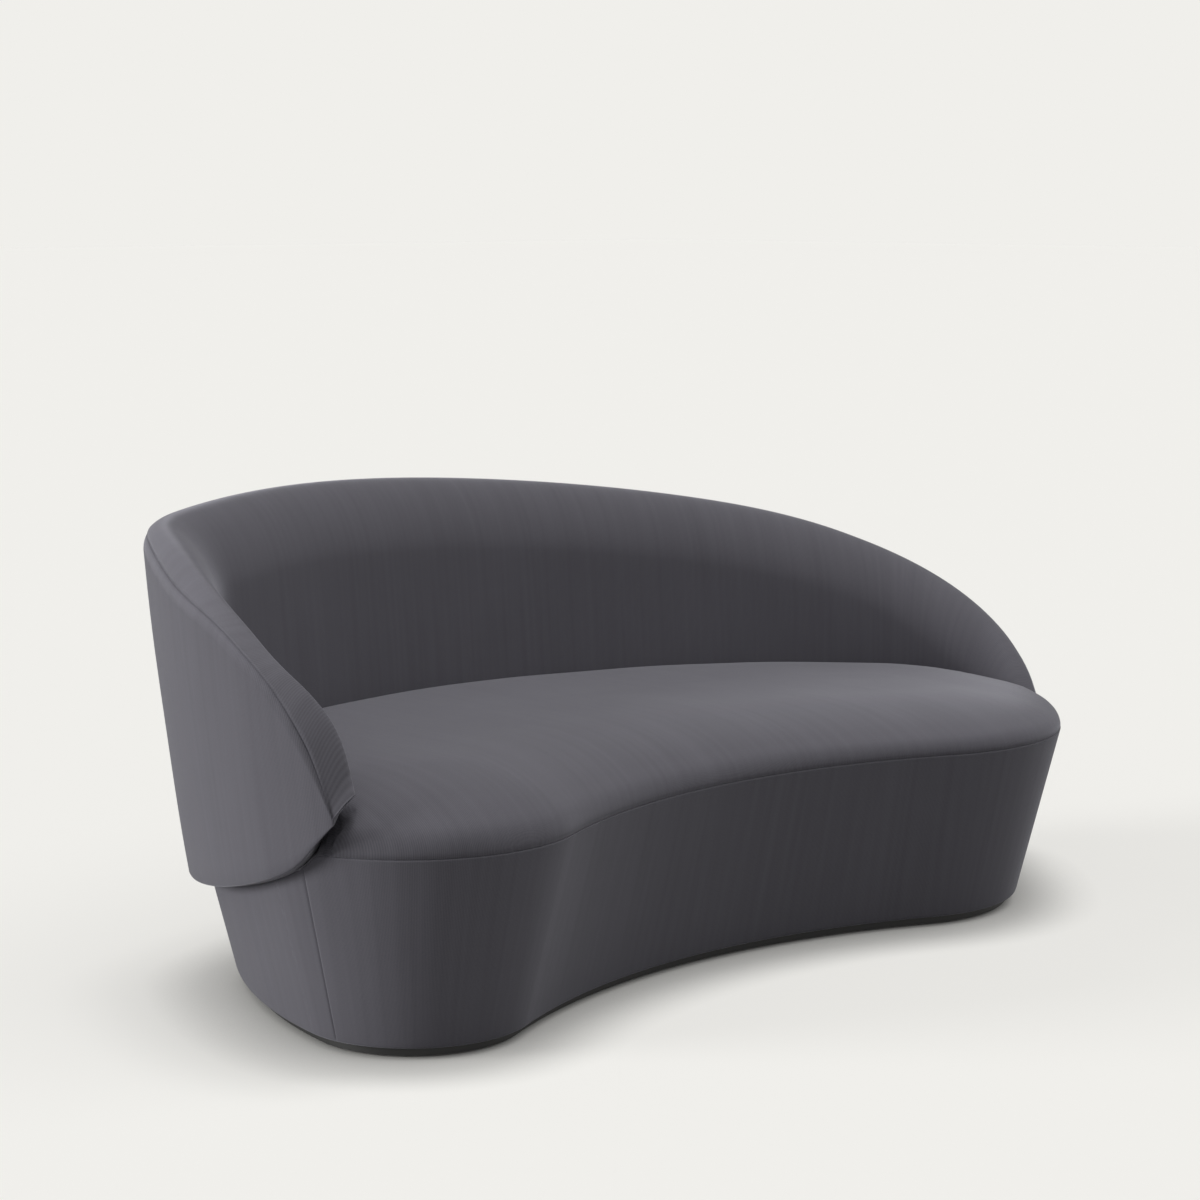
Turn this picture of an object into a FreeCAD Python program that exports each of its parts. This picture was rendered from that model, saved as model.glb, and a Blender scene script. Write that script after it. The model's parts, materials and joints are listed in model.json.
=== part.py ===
import FreeCAD, Part
import bisect
import math
import os

import Sketcher
from FreeCAD import Placement, Rotation, Vector

# Curved three-seater sofa: kidney-shaped seat, wrapped arm and back
# X runs along the sofa to the right of someone facing it, Y to the back, Z up.
# Heights count from the floor. Plan offsets count outwards from the seam line of the seat.

doc = FreeCAD.newDocument("CurvedSofa")
sheet = doc.addObject("Spreadsheet::Sheet", "Sizes")

# Driving dimensions
# Plan of the seat seam: four corner circles, joined by four side arcs that touch them
PLAN_SIZES = (
    ("front_left_x", -651),
    ("front_left_y", -144),
    ("front_left_radius", 265),
    ("front_right_x", 541),
    ("front_right_y", -67),
    ("front_right_radius", 342),
    ("rear_right_x", 762),
    ("rear_right_y", 66),
    ("rear_right_radius", 271),
    ("rear_left_x", -552),
    ("rear_left_y", 176),
    ("rear_left_radius", 245),
    ("front_hollow_radius", 1084),
    ("right_side_radius", 1059),
    ("rear_side_radius", 1679),
    ("left_side_radius", 1104),
)

# Levels, boards and padding of the seat
SEAT_SIZES = (
    ("glide_height", 4),
    ("glide_radius", 14),
    ("glide_count", 8),
    ("plinth_thickness", 15),
    ("plinth_width", 70),
    ("plinth_recess", 18),
    ("hem_thickness", 1),
    ("hem_width", 34),
    ("board_thickness", 18),
    ("base_ring_width", 110),
    ("cross_piece_width", 120),
    ("skirt_lean", 77),
    ("cover_thickness", 2),
    ("side_foam_thickness", 16),
    ("wall_thickness", 8),
    ("seat_frame_height", 290),
    ("seam_rise", 40),
    ("rib_count", 16),
    ("rib_width", 60),
    ("deck_ring_width", 85),
    ("rail_width", 36),
    ("rail_height", 60),
    ("left_rail_x", -260),
    ("right_rail_x", 335),
    ("front_post_y", -120),
    ("rear_post_y", 300),
    ("strap_width", 70),
    ("strap_pitch", 105),
    ("strap_thickness", 1.5),
    ("strap_seat", 45),
    ("felt_thickness", 3),
    ("crown_rise", 91),
    ("crown_bulge", 3),
    ("crown_reach", 200),
    ("crown_fall", 1.8),
    ("gap", 0.3),
)

# Unrolled edge of the back: distance along the plan, how far its seam and its lower edge lie above
# the seam of the seat, and how far the roll rises over the back's own seam.
# Distances count clockwise from the join of the left side and the front left corner.
BACK_MARKS = (
    ("nose_end", -174, 60, 53, 30),
    ("nose_front", -150, 132, 27, 26),
    ("nose_bend", -104, 218, -13, 10),
    ("arm_front", 0, 310, -58, -6),
    ("arm_middle", 190, 373, -106, 20),
    ("left_corner", 500, 430, -148, 14),
    ("crest", 900, 452, -155, 12),
    ("rear_middle", 1370, 429, -155, 12),
    ("rear_right", 1825, 372, -153, 12),
    ("right_corner", 2150, 295, -142, 12),
    ("right_end", 2440, 157, -108, 12),
    ("tip_slope", 2620, 66, -55, 12),
    ("tip_end", 2760, 15, -8, 12),
)

# Shell and frame of the back; its levels count from the seam of the seat
BACK_SIZES = (
    ("foot_level", -140),
    ("foot_offset", 0),
    ("middle_level", 120),
    ("middle_offset", 36),
    ("head_level", 380),
    ("head_offset", 61),
    ("arm_thickness", 58),
    ("arm_length", 100),
    ("arm_taper_length", 400),
    ("back_thickness", 105),
    ("tip_thickness", 52),
    ("tip_taper_length", 520),
    ("roll_drop_share", 0.7),
    ("crest_depth", 38),
    ("lower_edge_round", 6),
    ("row_bow", 1.2),
    ("outer_foam_thickness", 10),
    ("panel_thickness", 4),
    ("frame_depth", 30),
    ("frame_foot_gap", 12),
    ("frame_head_gap", 52),
    ("back_rail_height", 60),
    ("back_rail_start", -20),
    ("back_rail_end", 2480),
    ("back_rib_width", 40),
    ("back_rib_count", 9),
    ("band_height", 50),
    ("band_thickness", 1.5),
    ("band_level", 20),
    ("band_pitch", 90),
    ("band_count", 3),
    ("bottom_strip_thickness", 1.5),
    ("bolt_radius", 4),
    ("bolt_block_width", 44),
    ("bolt_block_height", 40),
    ("bolt_block_depth", 22),
    ("bolt_block_room", 1.2),
    ("bolt_head_radius", 7),
    ("bolt_head_height", 5),
    ("bolt_hold", 22),
)


def all_sizes():
    rows = list(PLAN_SIZES + SEAT_SIZES + BACK_SIZES)
    for name, distance, upper, lower, rise in BACK_MARKS:
        rows.append((name + "_distance", distance))
        rows.append((name + "_upper", upper))
        rows.append((name + "_lower", lower))
        rows.append((name + "_rise", rise))
    return rows


DERIVED = (("seam_height", "=seat_frame_height + seam_rise"),)
ROWS_OF_SHEET = all_sizes() + list(DERIVED)
for row, (name, value) in enumerate(ROWS_OF_SHEET, start=1):
    sheet.set("A%d" % row, name)
    sheet.set("B%d" % row, str(value))
    sheet.setAlias("B%d" % row, name)
doc.recompute()

size = {name: float(sheet.get(name)) for name, value in ROWS_OF_SHEET}
pieces = []


def keep(obj, label):
    """Names a sub-part and puts it on the list of those that are written out."""
    obj.Label = label
    pieces.append(obj)
    return obj


def number(expression):
    return float(sheet.evalExpression(expression))


# Plan geometry
CORNERS = ("front_left", "front_right", "rear_right", "rear_left")
SIDES = ("front_hollow", "right_side", "rear_side", "left_side")
HOLLOW = "front_hollow"
UP = Vector(0, 0, 1)


def direction(angle):
    return Vector(math.cos(angle), math.sin(angle), 0)


def angle_of(vector):
    return math.atan2(vector.y, vector.x)


def corner_centre(name):
    return Vector(size[name + "_x"], size[name + "_y"], 0)


def side_centre(first, second, side):
    """Centre of the arc that touches two corner circles."""
    hollow = side == HOLLOW
    sign = 1 if hollow else -1
    reach_first = size[side + "_radius"] + sign * size[first + "_radius"]
    reach_second = size[side + "_radius"] + sign * size[second + "_radius"]
    start = corner_centre(first)
    span = corner_centre(second) - start
    length = span.Length
    along = (reach_first ** 2 - reach_second ** 2 + length ** 2) / (2 * length)
    across = math.sqrt(reach_first ** 2 - along ** 2)
    unit = span / length
    left = Vector(-unit.y, unit.x, 0)
    return start + unit * along - left * (sign * across)


def plan_arcs():
    """Eight arcs counter-clockwise: centre, radius, growth sign, start angle and sweep."""
    centres = {}
    for index, side in enumerate(SIDES):
        second = CORNERS[(index + 1) % len(CORNERS)]
        centres[side] = side_centre(CORNERS[index], second, side)
    arcs = []
    for index, corner in enumerate(CORNERS):
        middle = corner_centre(corner)
        before = SIDES[index - 1]
        after = SIDES[index]
        joins = []
        for side in (before, after):
            towards = middle - centres[side]
            joins.append(angle_of(-towards if side == HOLLOW else towards))
        sweep = (joins[1] - joins[0]) % (2 * math.pi)
        arcs.append((corner, middle, size[corner + "_radius"], 1, joins[0], sweep))
        following = corner_centre(CORNERS[(index + 1) % len(CORNERS)])
        start = angle_of(middle - centres[after])
        end = angle_of(following - centres[after])
        grow = -1 if after == HOLLOW else 1
        sweep = grow * ((grow * (end - start)) % (2 * math.pi))
        arcs.append((after, centres[after], size[after + "_radius"], grow, start, sweep))
    return arcs


PLAN = plan_arcs()
PERIMETER = sum(radius * abs(sweep) for name, middle, radius, grow, start, sweep in PLAN)


class Station:
    """A place on the seam line, with the outward and clockwise directions there."""

    def __init__(self, distance):
        remaining = distance
        route = PLAN[:1] if distance < 0 else PLAN[::-1]
        for name, middle, radius, grow, start, sweep in route:
            length = radius * abs(sweep)
            if distance < 0:
                angle = start - remaining / radius
                break
            angle = start + sweep * (1 - remaining / length)
            if remaining <= length:
                break
            remaining -= length
        self.outward = direction(angle) * grow
        self.base = middle + direction(angle) * radius
        self.along = self.outward.cross(UP)

    def point(self, offset, height):
        return self.base + self.outward * offset + UP * height


def add_outline(sketch, prefix, offset):
    """Draws the plan outline at an offset, held by the sizes of the sheet."""
    first = sketch.GeometryCount
    shift = number(offset)
    for name, middle, radius, grow, start, sweep in PLAN:
        circle = Part.Circle(middle, UP, radius + grow * shift)
        low = start if grow > 0 else start + sweep
        sketch.addGeometry(Part.ArcOfCircle(circle, low, low + abs(sweep)), False)
    count = len(PLAN)
    start_vertex = {1: 1, -1: 2}
    end_vertex = {1: 2, -1: 1}
    for index, (name, middle, radius, grow, start, sweep) in enumerate(PLAN):
        after = (index + 1) % count
        ends = (first + index, end_vertex[grow], first + after, start_vertex[PLAN[after][3]])
        sketch.addConstraint(Sketcher.Constraint("Tangent", *ends))
    for index, (name, middle, radius, grow, start, sweep) in enumerate(PLAN):
        arc = first + index
        key = prefix + name
        held = sketch.addConstraint(Sketcher.Constraint("Radius", arc, radius + grow * shift))
        sketch.renameConstraint(held, key + "_radius")
        sign = "+" if grow > 0 else "-"
        sketch.setExpression("Constraints.%s_radius" % key, "Sizes.%s_radius %s (%s)" % (name, sign, offset))
        if name in CORNERS:
            for kind, axis, place in (("DistanceX", "x", middle.x), ("DistanceY", "y", middle.y)):
                held = sketch.addConstraint(Sketcher.Constraint(kind, -1, 1, arc, 3, place))
                sketch.renameConstraint(held, "%s_%s" % (key, axis))
                sketch.setExpression("Constraints.%s_%s" % (key, axis), "Sizes.%s_%s" % (name, axis))


def plan_sketch(body, name, offset, height, inner=None, fall="0"):
    """A level or slightly falling outline in a body, on the body's own ground plane."""
    sketch = body.newObject("Sketcher::SketchObject", name)
    plane = [item for item in body.Origin.OriginFeatures if item.Role == "XY_Plane"][0]
    sketch.AttachmentSupport = [(plane, "")]
    sketch.MapMode = "FlatFace"
    sketch.AttachmentOffset = Placement(Vector(0, 0, 0), Rotation(Vector(0, 1, 0), 1))
    sketch.setExpression("AttachmentOffset.Base.z", height)
    sketch.setExpression("AttachmentOffset.Rotation.Angle", fall)
    add_outline(sketch, "outer_", offset)
    if inner is not None:
        add_outline(sketch, "inner_", inner)
    return sketch


def new_body(name):
    return doc.addObject("PartDesign::Body", name + "_body")


def plate(name, offset, bottom, thickness, inner=None):
    """A flat board or ring with the plan outline."""
    body = new_body(name)
    sketch = plan_sketch(body, name + "_outline", offset, bottom, inner)
    pad = body.newObject("PartDesign::Pad", name + "_pad")
    pad.Profile = sketch
    pad.setExpression("Length", thickness)
    body.Tip = pad
    return body


def add_loft(body, name, rows, kind, ruled):
    sketches = []
    for index, row in enumerate(rows):
        offset, height = row[:2]
        fall = row[2] if len(row) > 2 else "0"
        sketches.append(plan_sketch(body, "%s_row_%d" % (name, index), offset, height, fall=fall))
    loft = body.newObject("PartDesign::" + kind, name)
    loft.Profile = sketches[0]
    loft.Sections = sketches[1:]
    loft.Ruled = ruled
    body.Tip = loft
    return loft


# Levels and offsets of the seat, as formulas of the sheet
PLINTH_TOP = "(Sizes.glide_height + Sizes.plinth_thickness)"
BASE_BOTTOM = "(%s + Sizes.hem_thickness)" % PLINTH_TOP
BASE_TOP = "(%s + Sizes.board_thickness)" % BASE_BOTTOM
DECK_BOTTOM = "(Sizes.seat_frame_height - Sizes.board_thickness)"
FELT_BOTTOM = "(Sizes.seat_frame_height + 2 * Sizes.strap_thickness)"
BED_LEVEL = "(%s + Sizes.felt_thickness)" % FELT_BOTTOM
FOAM_BOTTOM = "(%s + Sizes.gap)" % BED_LEVEL
SIDE_FOAM_IN = "(Sizes.cover_thickness + Sizes.gap + Sizes.side_foam_thickness)"
WALL_OUT = "(%s + Sizes.gap)" % SIDE_FOAM_IN
WALL_IN = "(%s + Sizes.wall_thickness)" % WALL_OUT


def skirt(height):
    """Offset of the flared skirt at a height."""
    drop = "(Sizes.seam_height - %s) / (Sizes.seam_height - %s)" % (height, PLINTH_TOP)
    return "(-Sizes.skirt_lean * %s)" % drop


def skirt_offset(height):
    low = number(PLINTH_TOP)
    return -size["skirt_lean"] * (size["seam_height"] - height) / (size["seam_height"] - low)


def make_plinth():
    outer = "(%s - Sizes.plinth_recess)" % skirt(PLINTH_TOP)
    inner = "(%s - Sizes.plinth_width)" % outer
    return plate("plinth", outer, "Sizes.glide_height", "Sizes.plinth_thickness", inner)


def base_edge():
    """The base board stays inside the side foam at its foot."""
    return "(%s - %s)" % (skirt(PLINTH_TOP), WALL_OUT)


def make_base_ring():
    inner = "(%s - Sizes.base_ring_width)" % base_edge()
    return plate("base_ring", base_edge(), BASE_BOTTOM, "Sizes.board_thickness", inner)


def make_dust_cover():
    edge = "(%s - Sizes.hem_width - Sizes.gap)" % skirt(PLINTH_TOP)
    return plate("dust_cover", edge, PLINTH_TOP, "Sizes.hem_thickness")


def make_side_wall():
    body = new_body("side_wall")
    outer = []
    inner = []
    for level in (BASE_TOP, "Sizes.seat_frame_height"):
        outer.append(("(%s - %s)" % (skirt(level), WALL_OUT), level))
        inner.append(("(%s - %s)" % (skirt(level), WALL_IN), level))
    add_loft(body, "side_wall_outside", outer, "AdditiveLoft", True)
    add_loft(body, "side_wall_inside", inner, "SubtractiveLoft", True)
    return body


def make_deck_ring():
    outer = "(%s - %s - Sizes.gap)" % (skirt(DECK_BOTTOM), WALL_IN)
    inner = "(%s - Sizes.deck_ring_width)" % outer
    return plate("deck_ring", outer, DECK_BOTTOM, "Sizes.board_thickness", inner)


def make_bed_felt():
    edge = "(%s - %s)" % (skirt(FELT_BOTTOM), WALL_OUT)
    return plate("bed_felt", edge, FELT_BOTTOM, "Sizes.felt_thickness")


def make_side_foam():
    body = new_body("side_foam")
    outer = []
    inner = []
    for level in (BASE_BOTTOM, BED_LEVEL):
        outer.append(("(%s - Sizes.cover_thickness - Sizes.gap)" % skirt(level), level))
        inner.append(("(%s - %s)" % (skirt(level), SIDE_FOAM_IN), level))
    add_loft(body, "side_foam_outside", outer, "AdditiveLoft", True)
    add_loft(body, "side_foam_inside", inner, "SubtractiveLoft", True)
    return body


def make_skirt_cover():
    """Flared band of fabric with its hem turned in under the frame."""
    body = new_body("skirt_cover")
    outer = [(skirt(level), level) for level in (PLINTH_TOP, "Sizes.seam_height")]
    inner = []
    for level in (BASE_BOTTOM, "Sizes.seam_height"):
        inner.append(("(%s - Sizes.cover_thickness)" % skirt(level), level))
    add_loft(body, "skirt_outside", outer, "AdditiveLoft", True)
    add_loft(body, "skirt_inside", inner, "SubtractiveLoft", True)
    mouth = "(%s - Sizes.hem_width)" % skirt(PLINTH_TOP)
    sketch = plan_sketch(body, "hem_mouth", mouth, PLINTH_TOP)
    pocket = body.newObject("PartDesign::Pocket", "hem_opening")
    pocket.Profile = sketch
    pocket.Reversed = True
    pocket.setExpression("Length", "2 * Sizes.hem_thickness")
    body.Tip = pocket
    return body


# Crown of the seat: inset and rise of each row, as shares of the crown's own reach and rise
CROWN_ROWS = (
    (0.01, 0.16),
    (0.09, 0.42),
    (0.31, 0.71),
    (1.00, 1.00),
)


def crown_rows(inset, floor_level):
    """Outlines of the crown, drawn in all round by an inset."""
    rows = [("-(%s)" % inset, floor_level)]
    for index, (reach, rise) in enumerate(CROWN_ROWS):
        bulge = "Sizes.crown_bulge" if index == 0 else "0"
        offset = "%s - %s * Sizes.crown_reach - (%s)" % (bulge, reach, inset)
        height = "Sizes.seam_height + %s * Sizes.crown_rise - (%s)" % (rise, inset)
        rows.append((offset, height, "%s * Sizes.crown_fall" % rise))
    return rows


def make_top_cover():
    body = new_body("seat_top_cover")
    outer = crown_rows("0", "Sizes.seam_height")
    inner = crown_rows("Sizes.cover_thickness", "Sizes.seam_height")
    add_loft(body, "top_cover_outside", outer, "AdditiveLoft", True)
    add_loft(body, "top_cover_inside", inner, "SubtractiveLoft", True)
    return body


def make_seat_foam():
    body = new_body("seat_foam")
    inset = "(Sizes.cover_thickness + Sizes.gap)"
    foot = [("(%s - %s)" % (skirt(FOAM_BOTTOM), inset), FOAM_BOTTOM), ("-(%s)" % inset, "Sizes.seam_height")]
    add_loft(body, "seat_foam_foot", foot, "AdditiveLoft", True)
    add_loft(body, "seat_foam_crown", crown_rows(inset, "Sizes.seam_height"), "AdditiveLoft", True)
    return body


# Edges of the back, unrolled along the plan
EDGE_POINTS = 600
SEAM = size["seam_height"]
FIRST = size["nose_end_distance"]
LAST = size["tip_end_distance"]
NOSE = ("nose_end", "nose_front", "nose_bend")


def edge_curve(kind, base):
    """Smooth line through a column of the marks, as a fine list of distances and heights."""
    points = []
    for name, distance, upper, lower, rise in BACK_MARKS:
        points.append(Vector(size[name + "_distance"], 0, base + size[name + kind]))
    curve = Part.BSplineCurve()
    curve.interpolate(points)
    return curve.discretize(Number=EDGE_POINTS)


UPPER_EDGE = edge_curve("_upper", SEAM)
LOWER_EDGE = edge_curve("_lower", SEAM)
ROLL_RISES = edge_curve("_rise", 0)


def edge_height(edge, distance):
    for before, after in zip(edge, edge[1:]):
        if distance <= after.x:
            share = (distance - before.x) / (after.x - before.x)
            return before.z + max(share, 0) * (after.z - before.z)
    return edge[-1].z


def back_rows():
    """Distances of the upright rows of the back, close enough to hold the plan's bow between two."""
    breaks = [size[name + "_distance"] for name in NOSE] + [0]
    stretches = [(start, end, size["front_left_radius"]) for start, end in zip(breaks, breaks[1:])]
    start = 0
    for name, middle, radius, grow, turn, sweep in PLAN[::-1]:
        end = min(start + radius * abs(sweep), LAST)
        if end > start:
            stretches.append((start, end, radius))
        start = end
    rows = [FIRST]
    for start, end, radius in stretches:
        step = math.sqrt(8 * radius * size["row_bow"])
        count = math.ceil((end - start) / step)
        rows += [start + (end - start) * (index + 1) / count for index in range(count)]
    return rows


def eased(share):
    """Smooth step from 0 to 1."""
    share = max(0, min(1, share))
    return share * share * (3 - 2 * share)


def thickness_at(distance):
    """Slim at the arm, full at the back, slim again at the tip."""
    from_arm = eased((distance - size["arm_length"]) / size["arm_taper_length"])
    to_tip = eased((distance - LAST) / size["tip_taper_length"] + 1)
    full = size["arm_thickness"] + from_arm * (size["back_thickness"] - size["arm_thickness"])
    return full + to_tip * (size["tip_thickness"] - full)


def row_values(distance):
    """Base point, outward direction, top, bottom, thickness and rise of the roll at a row."""
    place = Station(distance)
    edges = [edge_height(edge, distance) for edge in (UPPER_EDGE, LOWER_EDGE)]
    return [place.base, place.outward] + edges + [thickness_at(distance), edge_height(ROLL_RISES, distance)]


ROWS = back_rows()
ROW_VALUES = [row_values(distance) for distance in ROWS]


# Section of the back, upright and square to the seam line
def outer_offset(height):
    """Offset of the back's outer face, a curve through its foot, middle and head."""
    levels = [SEAM + size[name] for name in ("foot_level", "middle_level", "head_level")]
    offsets = [size[name] for name in ("foot_offset", "middle_offset", "head_offset")]
    total = 0
    for index in range(3):
        share = offsets[index]
        for other in range(3):
            if other != index:
                share *= (height - levels[other]) / (levels[index] - levels[other])
        total += share
    return total


def wall_offset(height):
    """Where the back lies against the seat's side wall, clear of the wall's own bow."""
    level = min(height, BED)
    return skirt_offset(level) - number(WALL_OUT) + GAP + size["row_bow"]


BED = number(BED_LEVEL)
COVER = size["cover_thickness"]
GAP = size["gap"]
PANEL_DEPTH = COVER + GAP + size["outer_foam_thickness"] + GAP
FRAME_DEPTH = PANEL_DEPTH + size["panel_thickness"] + GAP
BAND_DEPTH = FRAME_DEPTH + size["frame_depth"] + GAP
INNER_FOAM_DEPTH = BAND_DEPTH + size["band_thickness"] + GAP
LEAST = 2.0
WALL_CUT = 4.0
SOLE_INSET = 6.0
LOWEST_ROLL_SHARE = 0.4
DEEPEST_CREST_SHARE = 0.65
SOFT_GAP = 6 * GAP


class BackSection:
    """Heights and offsets of the back at one distance, straight between two rows."""

    def __init__(self, distance):
        index = min(max(bisect.bisect(ROWS, distance), 1), len(ROWS) - 1)
        share = (distance - ROWS[index - 1]) / (ROWS[index] - ROWS[index - 1])
        pairs = zip(ROW_VALUES[index - 1], ROW_VALUES[index])
        values = [before + (after - before) * share for before, after in pairs]
        self.base, self.outward, self.top, self.bottom, self.thickness, self.roll_rise = values
        height = self.top - self.bottom
        drop = self.thickness * size["roll_drop_share"]
        self.roll_start = self.top - min(drop, height * LOWEST_ROLL_SHARE)
        self.kink = max(BED + GAP, self.bottom + LEAST)
        self.frame_top = max(self.top - size["frame_head_gap"], self.kink + LEAST)
        self.frame_bottom = self.bottom + size["frame_foot_gap"]

    def point(self, offset, height):
        return self.base + self.outward * offset + UP * height

    def at(self, depth, height):
        """A point at a depth behind the outer face."""
        return self.point(outer_offset(height) - depth, height)

    def crest(self, depth):
        """Highest point of the roll, or of a layer at a depth below it."""
        inward = min(size["crest_depth"], self.thickness * DEEPEST_CREST_SHARE)
        return self.at(inward, self.top + self.roll_rise - depth)

    def on_wall(self, height, inset=0):
        limit = outer_offset(height) - self.thickness + SOLE_INSET
        return self.point(max(wall_offset(height) - inset, limit), height)


def wire_of(corners):
    """Closed outline of (corner, middle point of the arc to the next corner, or None)."""
    edges = []
    for index, (corner, middle) in enumerate(corners):
        following = corners[(index + 1) % len(corners)][0]
        if middle is None:
            edges.append(Part.makeLine(corner, following))
        else:
            edges.append(Part.Arc(corner, middle, following).toShape())
    return Part.Wire(edges)


def space_section(distance):
    """Room that the back takes out of the seat's soft parts, larger than the back by a gap."""
    section = BackSection(distance)
    low = section.bottom - GAP
    seam = section.top + GAP
    inner = section.thickness + SOFT_GAP
    kink = section.kink - GAP
    foot = section.at(-GAP, low)
    wall_foot = section.on_wall(low, WALL_CUT)
    sag = (wall_foot + foot) * 0.5 - UP * (size["lower_edge_round"] / 2)
    return wire_of([
        (foot, section.at(-GAP, (low + seam) / 2)),
        (section.at(-GAP, seam), section.crest(-SOFT_GAP)),
        (section.at(inner, section.roll_start), None),
        (section.at(inner, kink), None),
        (section.on_wall(kink, WALL_CUT), None),
        (wall_foot, sag),
    ])


def rows_between(first, last):
    return [first] + [row for row in ROWS if first + LEAST < row < last - LEAST] + [last]


def back_loft(section, first, last):
    return Part.makeLoft([section(distance) for distance in rows_between(first, last)], True, True)


def back_piece(label, section, first, last):
    feature = doc.addObject("Part::Feature", label + "_solid")
    feature.Shape = back_loft(section, first, last)
    return feature


def quad(section, depth_out, depth_in, low, high, bowed=True):
    """Upright slab section between two depths."""
    middle = (low + high) / 2
    outer_bow = section.at(depth_out, middle) if bowed else None
    inner_bow = section.at(depth_in, middle) if bowed else None
    return wire_of([
        (section.at(depth_out, low), outer_bow),
        (section.at(depth_out, high), None),
        (section.at(depth_in, high), inner_bow),
        (section.at(depth_in, low), None),
    ])


def outside_cover_section(distance):
    section = BackSection(distance)
    return quad(section, 0, COVER, section.bottom, section.top)


def outside_foam_section(distance):
    section = BackSection(distance)
    depth = COVER + GAP
    low = section.bottom + size["bottom_strip_thickness"] + GAP
    return quad(section, depth, depth + size["outer_foam_thickness"], low, section.frame_top)


def panel_section(distance):
    section = BackSection(distance)
    depth = PANEL_DEPTH
    return quad(section, depth, depth + size["panel_thickness"], section.frame_bottom, section.frame_top)


def frame_inner(level):
    """Inner side of the frame, which lies on the seat's side wall where that is high enough."""
    depth = FRAME_DEPTH + size["frame_depth"]
    if level < size["seat_frame_height"]:
        return wall_offset(level)
    return max(wall_offset(level), outer_offset(level) - depth)


def bottom_rail_section(distance):
    section = BackSection(distance)
    low = section.frame_bottom
    high = low + size["back_rail_height"]
    kink = min(max(BED, low + LEAST), high - LEAST)
    inner = [(section.point(frame_inner(level), level), None) for level in (high, kink, low)]
    return wire_of([(section.at(FRAME_DEPTH, low), None), (section.at(FRAME_DEPTH, high), None)] + inner)


def top_rail_section(distance):
    section = BackSection(distance)
    high = section.frame_top
    depth = FRAME_DEPTH + size["frame_depth"]
    return quad(section, FRAME_DEPTH, depth, high - size["back_rail_height"], high, False)


def free_level():
    """Level from which the whole depth of the frame clears the seat's wall."""
    depth = FRAME_DEPTH + size["frame_depth"]
    level = BED
    while outer_offset(level) - depth < wall_offset(level):
        level += 1
    return level


def rib_section(distance, low, high):
    """Upright rib of the frame, bowed like the back and set back over the seat's wall."""
    section = BackSection(distance)
    bends = [level for level in (free_level(), BED) if low + LEAST < level < high - LEAST]
    levels = [high] + bends + [low]
    inner = [(section.point(frame_inner(level), level), None) for level in levels]
    middle = (levels[0] + levels[1]) / 2
    inner[0] = (inner[0][0], section.point(frame_inner(middle), middle))
    bow = section.at(FRAME_DEPTH, (low + high) / 2)
    return wire_of([(section.at(FRAME_DEPTH, low), bow), (section.at(FRAME_DEPTH, high), None)] + inner)


def inside_foam_section(distance):
    """Inner padding, which rolls over the top of the frame."""
    section = BackSection(distance)
    depth = COVER + SOFT_GAP
    inner = section.thickness - depth
    frame_side = min(INNER_FOAM_DEPTH, inner - LEAST)
    ledge = section.frame_top + GAP
    return wire_of([
        (section.at(COVER + GAP, ledge), None),
        (section.at(COVER + depth, section.top - SOFT_GAP), section.crest(depth)),
        (section.at(inner, section.roll_start), None),
        (section.at(inner, section.kink), None),
        (section.at(frame_side, section.kink), section.at(frame_side, (section.kink + ledge) / 2)),
        (section.at(frame_side, ledge), None),
    ])


def inside_cover_section(distance):
    """Fabric from the seam over the roll and down the inner face."""
    section = BackSection(distance)
    inner = section.thickness
    return wire_of([
        (section.at(COVER / 2, section.top), section.crest(0)),
        (section.at(inner, section.roll_start), None),
        (section.at(inner, section.kink), None),
        (section.at(inner - COVER, section.kink), None),
        (section.at(inner - COVER, section.roll_start), section.crest(COVER)),
        (section.at(COVER + COVER / 2, section.top), None),
    ])


def bottom_strip_section(distance):
    section = BackSection(distance)
    low = section.bottom
    high = low + size["bottom_strip_thickness"]
    outer = COVER + GAP
    return wire_of([
        (section.at(outer, low), None),
        (section.at(outer, high), None),
        (section.on_wall(high), None),
        (section.on_wall(low), None),
    ])


ROOM = 3000
HEAD_SIDES = 6
BOLT_BAYS = (1, 3, 4, 5, 6)
RIB_PITCH = PERIMETER / int(size["rib_count"])


def trimmed(label, base):
    """A seat piece cut away where the back passes."""
    cut = doc.addObject("Part::Cut", label + "_trimmed")
    cut.Base = base
    cut.Tool = back_space
    return cut


def drilled(label, base):
    """A piece with the bores of the bolts that hold the back."""
    cut = doc.addObject("Part::Cut", label + "_drilled")
    cut.Base = base
    cut.Tool = bolt_bores
    return cut


def group(label, solids):
    """Like pieces that share one node, as separate solids."""
    feature = doc.addObject("Part::Feature", label + "_set")
    feature.Shape = Part.makeCompound(solids)
    return feature


def bar(name, placed):
    """A box whose sizes and corner are formulas of the sheet."""
    box = doc.addObject("Part::Box", name)
    for key, formula in placed.items():
        box.setExpression(key, formula)
    return box


def clipped(label, boxes, limit):
    """Bars cut to the plan outline of a limiting plate."""
    bars = doc.addObject("Part::Compound", label + "_bars")
    bars.Links = boxes
    common = doc.addObject("Part::Common", label + "_clipped")
    common.Base = bars
    common.Tool = limit
    return common


# Lower frame of the seat
RAILS = ("left_rail_x", "right_rail_x")
RAIL_BOTTOM = "(%s - Sizes.rail_height)" % DECK_BOTTOM


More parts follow.
